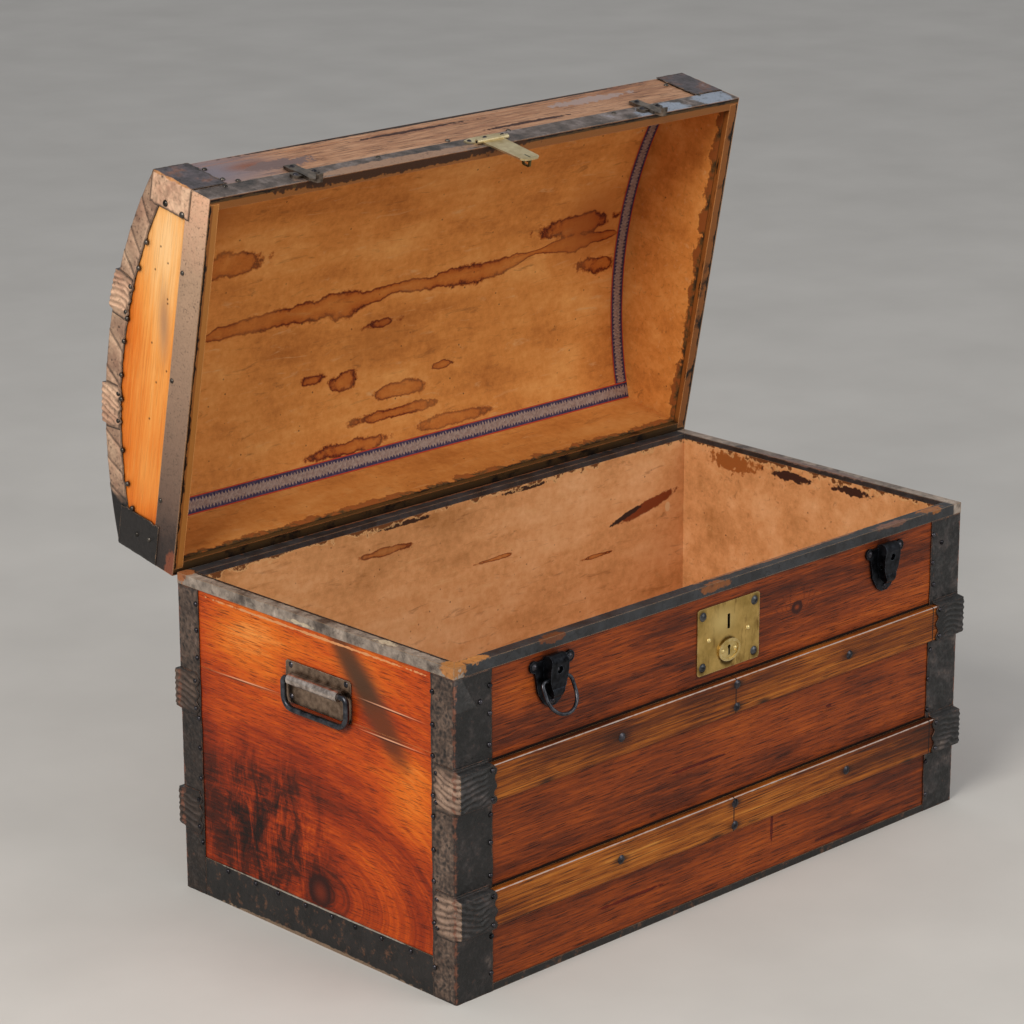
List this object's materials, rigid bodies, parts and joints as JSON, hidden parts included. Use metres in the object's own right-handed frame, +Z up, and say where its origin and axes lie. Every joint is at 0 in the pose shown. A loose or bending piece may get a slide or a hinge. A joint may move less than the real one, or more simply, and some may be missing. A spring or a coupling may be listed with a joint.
{
  "type": "dome top trunk",
  "caption": "Wooden dome top trunk with oak slats, iron bindings, a brass hasp lock, side latches, drop handles and a hinged lid that stands open.",
  "frame": {"origin": "centre of the bottom face of the box, on the floor", "axes": "+X to the right along the length, -Y towards the front with the lock, +Z up"},
  "size_m": [0.887, 0.6197, 0.8664],
  "materials": {
    "varnished_pine": "worn satin varnish",
    "raw_pine": "bare",
    "oak_slat": "worn satin varnish",
    "sheet_iron": "embossed, worn black lacquer",
    "nail_steel": "dull, lightly rusted",
    "aged_brass": "aged, streaked",
    "black_casting": "black, worn grey on the edges",
    "forged_steel": "dark, rubbed",
    "lining_paper": "stained, matt",
    "woven_tape": "woven"
  },
  "bodies": {
    "case": {"front_panel": "varnished_pine", "back_panel": "varnished_pine", "end_panel_left": "varnished_pine", "end_panel_right": "varnished_pine", "bottom_boards": "raw_pine", "box_lining": "lining_paper", "corner_iron_front_left": "sheet_iron", "corner_iron_front_right": "sheet_iron", "corner_irons_back": "sheet_iron", "rim_binding_front": "sheet_iron", "rim_binding_back": "sheet_iron", "rim_binding_left": "sheet_iron", "rim_binding_right": "sheet_iron", "bottom_bindings": "sheet_iron", "bottom_band_left": "sheet_iron", "bottom_band_right": "sheet_iron", "front_slat_upper": "oak_slat", "front_slat_lower": "oak_slat", "back_slats": "oak_slat", "slat_nails": "nail_steel", "slat_clamps_front_left": "sheet_iron", "slat_clamps_front_right": "sheet_iron", "slat_clamps_back": "sheet_iron", "lock_plate": "aged_brass", "lock_escutcheon": "aged_brass", "lock_case": "nail_steel", "lock_spring": "nail_steel", "lock_nails": "nail_steel", "latch_casting_left": "black_casting", "latch_casting_right": "black_casting", "latch_nails": "nail_steel", "handle_plate_left": "forged_steel", "handle_plate_right": "forged_steel", "handle_nails": "nail_steel", "hinge_leaves_lower": "forged_steel", "hinge_pins": "nail_steel"},
    "lid": {"lid_front_wall": "varnished_pine", "lid_back_wall": "varnished_pine", "lid_end_left": "varnished_pine", "lid_end_right": "varnished_pine", "dome_staves": "varnished_pine", "dome_slats": "oak_slat", "dome_slat_clamps": "sheet_iron", "lid_arch_band_left": "sheet_iron", "lid_arch_band_right": "sheet_iron", "lid_rim_bands": "sheet_iron", "lid_corner_plates": "sheet_iron", "lid_lining": "lining_paper", "lid_tapes": "woven_tape", "latch_catches": "black_casting", "lid_hardware_nails": "nail_steel", "hinge_leaves_upper": "forged_steel", "hasp_plate": "aged_brass", "hasp_pin": "nail_steel"},
    "hasp": {"hasp_tongue": "aged_brass", "hasp_staple": "aged_brass"},
    "lock_bolt": {"lock_bolt": "nail_steel"},
    "handle_bail_left": {"handle_bail_left": "forged_steel"},
    "handle_bail_right": {"handle_bail_right": "forged_steel"},
    "latch_ring_left": {"latch_ring_left": "forged_steel"}
  },
  "joints": [
    {"name": "lid_hinge", "type": "hinge", "parent": "case", "child": "lid", "pos_m": [0, 0.232, 0.38965], "axis": [1, 0, 0], "range_deg": [0, 79.1]},
    {"name": "hasp_swing", "type": "hinge", "parent": "lid", "child": "hasp", "pos_m": [0.006, 0.15705, 0.85263], "axis": [-1, 0, 0], "range_deg": [0, 150]},
    {"name": "lock_bolt_slide", "type": "slide", "parent": "case", "child": "lock_bolt", "axis": [-1, 0, 0], "range_m": [0, 0.008]},
    {"name": "handle_swing_left", "type": "hinge", "parent": "case", "child": "handle_bail_left", "pos_m": [-0.4371, -0.0125, 0.317], "axis": [0, 1, 0], "range_deg": [0, 95]},
    {"name": "handle_swing_right", "type": "hinge", "parent": "case", "child": "handle_bail_right", "pos_m": [0.4371, -0.0125, 0.317], "axis": [0, -1, 0], "range_deg": [0, 95]},
    {"name": "latch_ring_swing_left", "type": "hinge", "parent": "case", "child": "latch_ring_left", "pos_m": [-0.284, -0.2411, 0.348], "axis": [-1, 0, 0], "range_deg": [-24, 154]}
  ]
}
